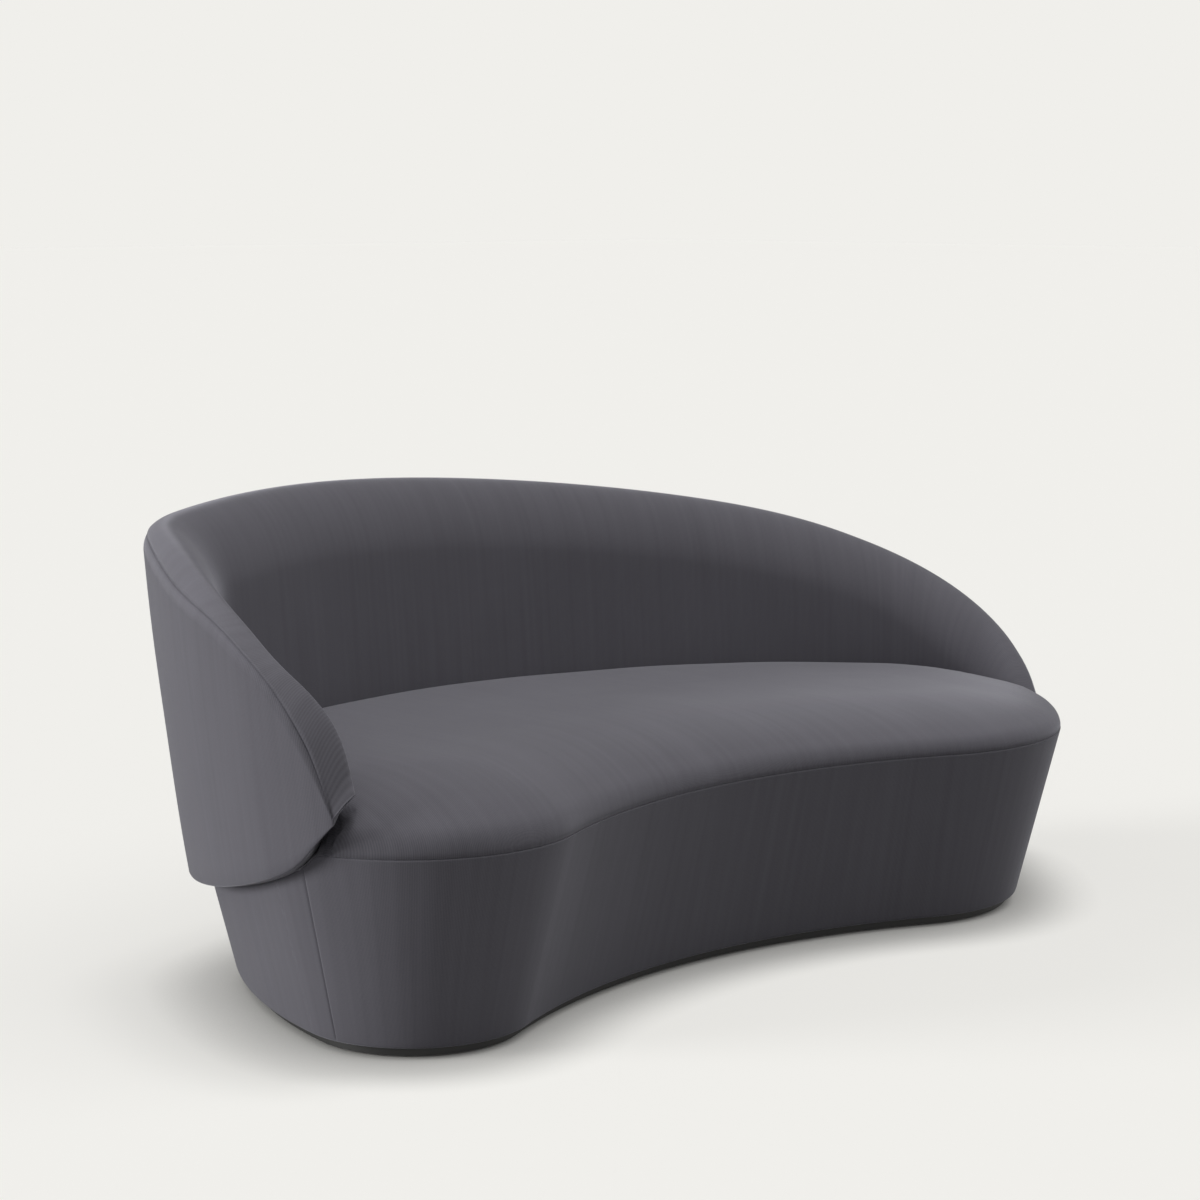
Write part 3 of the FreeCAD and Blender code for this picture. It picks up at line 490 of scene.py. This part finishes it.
def mesh_from(name, rows, closed_rows, uvs, caps=()):
    """Quad mesh through rows of points; each row is closed on itself, and so is the set if asked.

    A cap is the number of its row, whether it is flipped and whether it is a fan round a middle point.
    """
    width = len(rows[0])
    vertices = [point for row in rows for point in row]
    faces = []
    count = len(rows)
    for row in range(count if closed_rows else count - 1):
        after = (row + 1) % count
        for column in range(width):
            beside = (column + 1) % width
            corners = ((row, column), (row, beside), (after, beside), (after, column))
            faces.append(tuple(line * width + spot for line, spot in corners))
    for cap, flip, fanned in caps:
        ring = [cap * width + column for column in range(width)]
        if not fanned:
            faces.append(tuple(ring[::-1] if flip else ring))
            continue
        middle = sum((rows[cap][column] for column in range(width)), Vector((0, 0, 0))) / width
        vertices.append(middle)
        for first, second in zip(ring, ring[1:] + ring[:1]):
            face = (first, second, len(vertices) - 1)
            faces.append(face[::-1] if flip else face)
    mesh = bpy.data.meshes.new(name)
    mesh.from_pydata([tuple(vertex) for vertex in vertices], [], faces)
    mesh.update()
    layer = mesh.uv_layers.new(name="cloth")
    for loop in mesh.loops:
        row, column = divmod(loop.vertex_index, width)
        layer.data[loop.index].uv = uvs(min(row, count - 1), column)
    mesh.shade_smooth()
    piece = bpy.data.objects.new(name, mesh)
    bpy.context.scene.collection.objects.link(piece)
    return piece


def spaced(first, last, step):
    """Even distances, no further apart than a step."""
    count = max(2, math.ceil((last - first) / step))
    return [first + (last - first) * index / count for index in range(count + 1)]


def end_rows(section, sign, reach):
    """Rows that close an end with a rounded edge."""
    loop = back_loop(section)
    offsets = [offset for offset, height in loop]
    heights = [height for offset, height in loop]
    middle = ((min(offsets) + max(offsets)) / 2, (min(heights) + max(heights)) / 2)
    half = ((max(offsets) - min(offsets)) / 2, (max(heights) - min(heights)) / 2)
    rows = []
    for index in range(1, END_ROWS + 1):
        turn = math.pi / 2 * index / END_ROWS
        inset = reach * (1 - math.cos(turn))
        distance = section.distance + sign * reach * math.sin(turn)
        scale = [max(SMALLEST_END, 1 - inset / size) for size in half]
        row = []
        for point in loop:
            sides = zip(middle, point, scale)
            row.append(tuple(centre + (value - centre) * factor for centre, value, factor in sides))
        rows.append((distance, row))
    return rows


def make_back():
    """Upholstered arm and back in one, closed at both ends."""
    stations = spaced(FIRST, NOSE_ROWS_END, NOSE_STEP)[:-1] + spaced(NOSE_ROWS_END, LAST, BACK_STEP)
    loops = [(distance, back_loop(Section(distance))) for distance in stations]
    rows = end_rows(Section(FIRST), -1, NOSE_ROUND)[::-1] + loops + end_rows(Section(LAST), 1, END_ROUND)
    points = []
    for distance, loop in rows:
        section = Section(max(FIRST, min(LAST, distance)))
        row = []
        for offset, height in loop:
            along = distance + section.moved_back(offset, height)
            swell = uneven(at(distance, 0, height)) * section.fine
            row.append(at(along, offset + swell, height))
        points.append(row)

    def uvs(row, column):
        loop = rows[row][1]
        reach = 0
        for index in range(column):
            reach += math.dist(loop[index], loop[index + 1])
        return rows[row][0], loop[0][1] + reach

    caps = ((0, False, True), (len(points) - 1, True, True))
    piece = mesh_from("back_upholstery", points, False, uvs, caps)
    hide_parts("back_outside_cover", "back_inside_cover", "back_outside_foam", "back_inside_foam",
                "back_bottom_strip")
    return piece


# Seat
def back_limits(distance):
    """Section of the back at a distance, or None where the back doesn't reach."""
    wrapped = distance if distance <= LAST + END_ROUND else distance - PERIMETER
    if FIRST - END_ROUND <= wrapped <= LAST + END_ROUND:
        return Section(max(FIRST, min(LAST, wrapped)))
    return None


def ring_distances(seam=None):
    """Even distances round the plan, with closer ones at an upright seam."""
    even = [PERIMETER * index / RING_COUNT for index in range(RING_COUNT)]
    if seam is None:
        return even
    seam %= PERIMETER
    reach = GROOVE_COLUMNS[-1]
    kept = [distance for distance in even if abs(distance - seam) > GROOVE_CLEARING * reach]
    return sorted(kept + [seam + side for side in GROOVE_COLUMNS])


def make_skirt():
    """Flared band of the seat, with its hem turned under and its upper edge turned in at the seam."""
    rows = []
    for distance in ring_distances(BAND_SEAM):
        section = back_limits(distance)
        beside = abs(distance - BAND_SEAM % PERIMETER) / GROOVE_COLUMNS[-2]
        groove = GROOVE_DEPTH * max(0, 1 - beside)
        top = SEAM_LEVEL
        if section is not None:
            top = min(SEAM_LEVEL, section.bottom - BAND_GAP)
        base = -SKIRT_LEAN
        loop = [(base - inset, PLINTH_TOP + lift) for inset, lift in HEM_UNDER]
        for index in range(1, HEM_POINTS):
            turn = math.pi / 2 * index / HEM_POINTS
            inset = HEM_ROUND * (1 - math.sin(turn))
            loop.append((base - inset + HEM_SHIFT, PLINTH_TOP + HEM_ROUND * (1 - math.cos(turn))))
        span = top - UPPER_TURN - PLINTH_TOP - HEM_HEIGHT
        for index in range(SKIRT_ROWS + 1):
            height = PLINTH_TOP + HEM_HEIGHT + span * index / SKIRT_ROWS
            loop.append((skirt_offset(height) - groove, height))
        for inset, drop in UPPER_EDGE:
            loop.append((skirt_offset(top) - inset, top - drop))
        loop.append((skirt_offset(PLINTH_TOP + PAD_LIFT) - PAD_DEPTH, PLINTH_TOP + PAD_LIFT))
        loop.append((base - HEM_DEPTH, PLINTH_TOP + HEM_CLOSE))
        rows.append((distance, loop))
    points = [[at(distance, offset, height) for offset, height in loop] for distance, loop in rows]

    def uvs(row, column):
        return rows[row][0], rows[row][1][column][1]

    piece = mesh_from("seat_band", points, True, uvs)
    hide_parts("skirt_cover", "side_foam")
    return piece


def crown_rise(reach):
    """Share of the crown's height at a share of its reach, as a quarter circle."""
    return (1 - (1 - reach) ** 2) ** 0.5


def tilt(point, rise):
    """The crown falls a little to the right, more the higher it is, and most at the right end."""
    right = point.x - SHIFT.x
    far = max(0, min(1, (right - RIGHT_FALL_START) / RIGHT_FALL_LENGTH))
    return point.z - math.tan(CROWN_FALL * rise) * right - RIGHT_FALL * rise * far ** 2


def spine_point(point):
    """Nearest point of the seat's middle line."""
    best = None
    for start, end in zip(SPINE, SPINE[1:]):
        left = Vector((*start, 0)) + SHIFT
        span = Vector((*end, 0)) + SHIFT - left
        share = max(0, min(1, (point - left).dot(span) / span.length_squared))
        near = left + span * share
        near.z = 0
        flat = Vector((point.x, point.y, 0))
        if best is None or (near - flat).length < (best - flat).length:
            best = near
    return best


def rear_dip(section, offset, height):
    """How far the cushion's rounded rear edge falls towards the back."""
    if section is None or height <= SEAM_LEVEL:
        return 0
    near = max(0, 1 - (section.inner_face(height) - offset) / REAR_ROUND)
    fade = (1 - section.nose) * ease((LAST - section.distance) / TIP_DIP_FADE)
    return min(REAR_DIP * fade * near ** 2, height - SEAM_LEVEL)


def pressed(section, offset, height):
    """Moves a seat point out of the back's room, sideways or down, whichever is nearer."""
    if section is None or height < section.bottom:
        return offset, height
    inner = section.inner_face(height) - COVER_GAP
    if offset <= inner or height > section.top + section.rise:
        return offset, height
    if height - section.bottom < offset - inner and section.bottom > BED_LEVEL:
        return offset, section.bottom - COVER_GAP
    return inner, height


def make_cushion():
    """Crowned top of the seat, closed below."""
    distances = ring_distances()
    sections = [back_limits(distance) for distance in distances]
    profile = list(CUSHION_EDGE)
    for index in range(1, CROWN_POINTS + 1):
        share = (index / CROWN_POINTS) ** 2
        rise = crown_rise(share)
        bulge = CROWN_BULGE * math.sin(math.pi * min(1, share / BULGE_SHARE))
        profile.append((bulge - share * CROWN_REACH, CROWN_FOOT + rise * CROWN_RISE, rise))
    rings = []
    for offset, height, rise in profile:
        ring = []
        for distance, section in zip(distances, sections):
            point = at(distance, offset, height)
            lifted = tilt(point, rise)
            shifted, level = pressed(section, offset, lifted)
            level += uneven(point) * rise - rear_dip(section, shifted, level)
            ring.append(at(distance, shifted, level))
        rings.append(ring)
    edge = rings[-1]
    for index in range(1, INNER_RINGS + 1):
        share = index / (INNER_RINGS + 1)
        ring = []
        for point in edge:
            near = spine_point(point)
            moved = point.lerp(Vector((near.x, near.y, point.z)), share)
            level = Vector((moved.x, moved.y, CROWN_FOOT + CROWN_RISE))
            moved.z = tilt(level, 1) + uneven(level)
            ring.append(moved)
        rings.append(ring)

    def uvs(row, column):
        point = rings[row][column]
        return point.x, point.y

    caps = ((0, True, False), (len(rings) - 1, False, False))
    piece = mesh_from("seat_cushion", rings, False, uvs, caps)
    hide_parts("seat_top_cover", "seat_foam")
    return piece


# Materials

# Cloth: colour, pitches and depth of the threads in metres, scales of the noises and share of each texture
CLOTH = (0.126, 0.122, 0.141)
CLOTH_ROUGHNESS = 0.82
DARK_THREAD, LIGHT_THREAD = 0.55, 1.36
RIB_PITCH, RIB_SHARE = 0.0026, 0.7
CROSS_PITCH, THREAD_SHARE = 0.0013, 0.3
WEAVE_SHARE = 0.40
SLUB_SCALE, SLUB_SHARE = 420.0, 0.30
STRIPE_STRETCH, STRIPE_SHARE = (70.0, 2.0, 1.0), 0.30
CLOUD_SCALE, CLOUD_SHARE = 7.0, 0.15
SHEEN, SHEEN_ROUGHNESS = 0.5, 0.4
SHEEN_TINT = (0.75, 0.75, 0.82)
GLOSS = 0.25
CLOTH_BUMP, THREAD_DEPTH = 0.35, 0.0006

# Grain of the inner materials, and radians in one unit of a wave texture
GRAIN_BUMP, GRAIN_DEPTH = 0.2, 0.0004
WAVE_RADIANS = 20


def new_material(name, base, roughness):
    """New material with its colour and roughness set, and its shader."""
    material = bpy.data.materials.new(name)
    material.use_nodes = True
    shader = material.node_tree.nodes["Principled BSDF"]
    shader.inputs["Base Color"].default_value = (*base, 1)
    shader.inputs["Roughness"].default_value = roughness
    return material, shader


def node(tree, kind, **inputs):
    """New node with set values on its inputs."""
    made = tree.nodes.new(kind)
    for key, value in inputs.items():
        made.inputs[key].default_value = value
    return made


def mixed(tree, factor, dark, light):
    """Colour between dark and light by a factor."""
    ramp = tree.nodes.new("ShaderNodeValToRGB")
    ramp.color_ramp.elements[0].color = (*dark, 1)
    ramp.color_ramp.elements[1].color = (*light, 1)
    tree.links.new(factor, ramp.inputs["Fac"])
    return ramp.outputs["Color"]


def wave(tree, source, axis, pitch):
    """Threads along one axis of the cloth; pitch is in metres."""
    made = tree.nodes.new("ShaderNodeTexWave")
    made.wave_type = "BANDS"
    made.bands_direction = axis
    made.wave_profile = "SIN"
    made.inputs["Scale"].default_value = math.tau / (WAVE_RADIANS * pitch)
    made.inputs["Distortion"].default_value = 0
    tree.links.new(source, made.inputs["Vector"])
    return made.outputs["Fac"]


def maths(tree, operation, first, second):
    """Result of a calculation with numbers or the outputs of nodes."""
    made = tree.nodes.new("ShaderNodeMath")
    made.operation = operation
    for slot, value in zip(made.inputs, (first, second)):
        if isinstance(value, (int, float)):
            slot.default_value = value
        else:
            tree.links.new(value, slot)
    return made.outputs["Value"]


def cloth_material():
    """Anthracite ribbed weave: upright ribs and finer cross threads, slubs, streaks and soft mottling."""
    material, shader = new_material("ribbed_cloth", CLOTH, CLOTH_ROUGHNESS)
    tree = material.node_tree
    coordinates = tree.nodes.new("ShaderNodeUVMap")
    coordinates.uv_map = "cloth"
    source = coordinates.outputs["UV"]
    ribs = maths(tree, "MULTIPLY", wave(tree, source, "X", RIB_PITCH), RIB_SHARE)
    threads = maths(tree, "MULTIPLY", wave(tree, source, "Y", CROSS_PITCH), THREAD_SHARE)
    weave = maths(tree, "ADD", ribs, threads)
    slubs = node(tree, "ShaderNodeTexNoise", Scale=SLUB_SCALE, Detail=2.0)
    tree.links.new(source, slubs.inputs["Vector"])
    cloud = node(tree, "ShaderNodeTexNoise", Scale=CLOUD_SCALE, Detail=3.0)
    tree.links.new(source, cloud.inputs["Vector"])
    stretched = node(tree, "ShaderNodeMapping", Scale=STRIPE_STRETCH)
    tree.links.new(source, stretched.inputs["Vector"])
    stripes = node(tree, "ShaderNodeTexNoise", Scale=1.0, Detail=1.0)
    tree.links.new(stretched.outputs["Vector"], stripes.inputs["Vector"])
    level = maths(tree, "MULTIPLY", weave, WEAVE_SHARE)
    for texture, share in ((slubs, SLUB_SHARE), (stripes, STRIPE_SHARE), (cloud, CLOUD_SHARE)):
        level = maths(tree, "ADD", level, maths(tree, "MULTIPLY", texture.outputs["Fac"], share))
    dark = tuple(channel * DARK_THREAD for channel in CLOTH)
    light = tuple(channel * LIGHT_THREAD for channel in CLOTH)
    tree.links.new(mixed(tree, level, dark, light), shader.inputs["Base Color"])
    shader.inputs["Sheen Weight"].default_value = SHEEN
    shader.inputs["Sheen Roughness"].default_value = SHEEN_ROUGHNESS
    shader.inputs["Sheen Tint"].default_value = (*SHEEN_TINT, 1)
    shader.inputs["Specular IOR Level"].default_value = GLOSS
    bump = node(tree, "ShaderNodeBump", Strength=CLOTH_BUMP, Distance=THREAD_DEPTH)
    tree.links.new(level, bump.inputs["Height"])
    tree.links.new(bump.outputs["Normal"], shader.inputs["Normal"])
    return material


def grained(name, base, roughness, scale, stretch, contrast):
    """Wood or cloth with a stretched noise for its grain."""
    material, shader = new_material(name, base, roughness)
    tree = material.node_tree
    coordinates = tree.nodes.new("ShaderNodeTexCoord")
    mapping = node(tree, "ShaderNodeMapping", Scale=stretch)
    tree.links.new(coordinates.outputs["Object"], mapping.inputs["Vector"])
    grain = node(tree, "ShaderNodeTexNoise", Scale=scale, Detail=5.0)
    tree.links.new(mapping.outputs["Vector"], grain.inputs["Vector"])
    dark = tuple(channel * (1 - contrast) for channel in base)
    light = tuple(min(1, channel * (1 + contrast)) for channel in base)
    tree.links.new(mixed(tree, grain.outputs["Fac"], dark, light), shader.inputs["Base Color"])
    bump = node(tree, "ShaderNodeBump", Strength=GRAIN_BUMP, Distance=GRAIN_DEPTH)
    tree.links.new(grain.outputs["Fac"], bump.inputs["Height"])
    tree.links.new(bump.outputs["Normal"], shader.inputs["Normal"])
    return material


def steel_material():
    """Zinc-plated steel of the bolts."""
    material, shader = new_material("zinc_steel", (0.55, 0.55, 0.56), 0.35)
    shader.inputs["Metallic"].default_value = 1
    return material


def dress(names, material):
    """Gives CAD nodes a material."""
    for name in names:
        mesh = frame["nodes"][name].data
        mesh.materials.clear()
        mesh.materials.append(material)


back = make_back()
skirt = make_skirt()
cushion = make_cushion()
cloth = cloth_material()
for piece, fill in ((back, 0.9), (skirt, 0.9), (cushion, 0.85)):
    piece.data.materials.append(cloth)
    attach(piece, BODY)

# Inner and lower pieces: nodes, material name, colour, roughness, scale and stretch of the grain, contrast
GRAINS = (
    (("plinth",), "stained_board", (0.012, 0.012, 0.012), 0.5, 9.0, (1, 8, 1), 0.4),
    (("glides",), "black_plastic", (0.015, 0.015, 0.016), 0.4, 300.0, (1, 1, 1), 0.2),
    (("dust_cover",), "black_lining", (0.018, 0.018, 0.019), 0.9, 600.0, (1, 1, 1), 0.5),
    (("base_ring", "base_cross_pieces", "seat_ribs", "deck_ring", "side_wall", "back_panel"),
     "birch_plywood", (0.60, 0.45, 0.28), 0.6, 6.0, (1, 12, 12), 0.18),
    (("support_posts", "deck_rails", "back_bottom_rail", "back_top_rail", "back_ribs", "bolt_blocks"),
     "beech", (0.62, 0.46, 0.30), 0.55, 8.0, (2, 14, 2), 0.2),
    (("lengthwise_straps", "crosswise_straps", "back_bands"),
     "webbing", (0.25, 0.20, 0.15), 0.85, 260.0, (1, 3, 1), 0.35),
    (("bed_felt",), "felt", (0.55, 0.53, 0.50), 0.95, 180.0, (1, 1, 1), 0.25),
)
for names, *look in GRAINS:
    dress(names, grained(*look))
dress(("back_bolts",), steel_material())


# Stage: pale floor that meets the background without a line
PALE = (0.872, 0.863, 0.831)
FLOOR_GLOW = 0.50
FLOOR_LIFT = 1.10
# Painted contact shadow on the floor: reach and samples of the ambient occlusion that dims the floor's
# glow near the object
PAINTED_SHADOW_REACH = 0.16
PAINTED_SHADOW_SAMPLES = 4
FLOOR_REACH = 60
FLOOR_BOUNCE = (0.22, 0.22, 0.22)
WORLD_LIGHT = 0.10

# Sun lamps: name, azimuth from +X, elevation, strength and apparent size, angles in degrees
SUNS = (
    ("key", 150, 14, 2.2, 25),
    ("top", 20, 84, 1.15, 20),
    ("side", -45, 60, 0.65, 50),
    ("fill", 215, 30, 0.55, 90),
)

# Camera of the photograph, in the plan's own coordinates
CAMERA_PLACE = Vector((-3.5503, -3.5754, 1.3034))
CAMERA_TARGET = Vector((-0.1087, 0.0, 0.6159))
LENS = 87.49
SENSOR_WIDTH = 36
VIEW_REACH = 200


def seen_straight(tree):
    """One for rays of the camera, a gloss or a glass; zero for the rays that light the object."""
    path = tree.nodes.new("ShaderNodeLightPath")
    direct = maths(tree, "MAXIMUM", path.outputs["Is Camera Ray"], path.outputs["Is Glossy Ray"])
    return maths(tree, "MAXIMUM", direct, path.outputs["Is Transmission Ray"])


def make_floor():
    """Floor that glows a little to the camera, with a painted contact shadow that dims the glow near the
    object, and gives grey light back.
    """
    mesh = bpy.data.meshes.new("floor")
    corners = [(x * FLOOR_REACH, y * FLOOR_REACH, 0) for x, y in ((-1, -1), (1, -1), (1, 1), (-1, 1))]
    mesh.from_pydata(corners, [], [(0, 1, 2, 3)])
    floor = bpy.data.objects.new("floor", mesh)
    bpy.context.scene.collection.objects.link(floor)
    material = bpy.data.materials.new("pale_floor")
    material.use_nodes = True
    tree = material.node_tree
    tree.nodes.clear()
    output = tree.nodes.new("ShaderNodeOutputMaterial")
    lit = node(tree, "ShaderNodeBsdfDiffuse", Color=(*PALE, 1))
    glow = node(tree, "ShaderNodeEmission", Color=(*PALE, 1))
    # Painted contact shadow: ambient occlusion dims the glow that the camera sees, so the floor is darker
    # near the object
    painted_shadow = node(tree, "ShaderNodeAmbientOcclusion", Distance=PAINTED_SHADOW_REACH)
    painted_shadow.samples = PAINTED_SHADOW_SAMPLES
    tree.links.new(maths(tree, "MULTIPLY", painted_shadow.outputs["AO"], FLOOR_LIFT), glow.inputs["Strength"])
    seen = node(tree, "ShaderNodeMixShader", Fac=FLOOR_GLOW)
    tree.links.new(lit.outputs["BSDF"], seen.inputs[1])
    tree.links.new(glow.outputs["Emission"], seen.inputs[2])
    bounce = node(tree, "ShaderNodeBsdfDiffuse", Color=(*FLOOR_BOUNCE, 1))
    mix = tree.nodes.new("ShaderNodeMixShader")
    tree.links.new(seen_straight(tree), mix.inputs["Fac"])
    tree.links.new(bounce.outputs["BSDF"], mix.inputs[1])
    tree.links.new(seen.outputs["Shader"], mix.inputs[2])
    tree.links.new(mix.outputs["Shader"], output.inputs["Surface"])
    mesh.materials.append(material)


def make_world():
    """Background as pale as the floor, which lights the object only weakly."""
    world = bpy.data.worlds.new("studio")
    bpy.context.scene.world = world
    world.use_nodes = True
    tree = world.node_tree
    tree.nodes.clear()
    output = tree.nodes.new("ShaderNodeOutputWorld")
    seen = node(tree, "ShaderNodeBackground", Color=(*PALE, 1), Strength=1.0)
    light = node(tree, "ShaderNodeBackground", Color=(1, 1, 1, 1), Strength=WORLD_LIGHT)
    mix = tree.nodes.new("ShaderNodeMixShader")
    tree.links.new(seen_straight(tree), mix.inputs["Fac"])
    tree.links.new(light.outputs["Background"], mix.inputs[1])
    tree.links.new(seen.outputs["Background"], mix.inputs[2])
    tree.links.new(mix.outputs["Shader"], output.inputs["Surface"])


def make_sun(name, azimuth, elevation, strength, angle):
    """Sun lamp that shines from an azimuth and an elevation."""
    lamp = bpy.data.lights.new(name, "SUN")
    lamp.energy = strength
    lamp.angle = math.radians(angle)
    lamp_object = bpy.data.objects.new(name, lamp)
    bpy.context.scene.collection.objects.link(lamp_object)
    towards = direction(math.radians(azimuth)) * math.cos(math.radians(elevation))
    towards.z = math.sin(math.radians(elevation))
    lamp_object.rotation_euler = towards.to_track_quat("Z", "Y").to_euler()


def make_camera():
    """Camera that sees the object as the photograph does."""
    camera = bpy.data.cameras.new("camera")
    camera.lens = LENS
    camera.sensor_width = SENSOR_WIDTH
    camera.clip_end = VIEW_REACH
    camera_object = bpy.data.objects.new("camera", camera)
    camera_object.location = CAMERA_PLACE + SHIFT
    camera_object.rotation_euler = (CAMERA_TARGET - CAMERA_PLACE).to_track_quat("-Z", "Y").to_euler()
    bpy.context.scene.collection.objects.link(camera_object)
    bpy.context.scene.camera = camera_object


make_floor()
make_world()
for sun in SUNS:
    make_sun(*sun)
make_camera()
bpy.context.scene.view_settings.view_transform = "Standard"
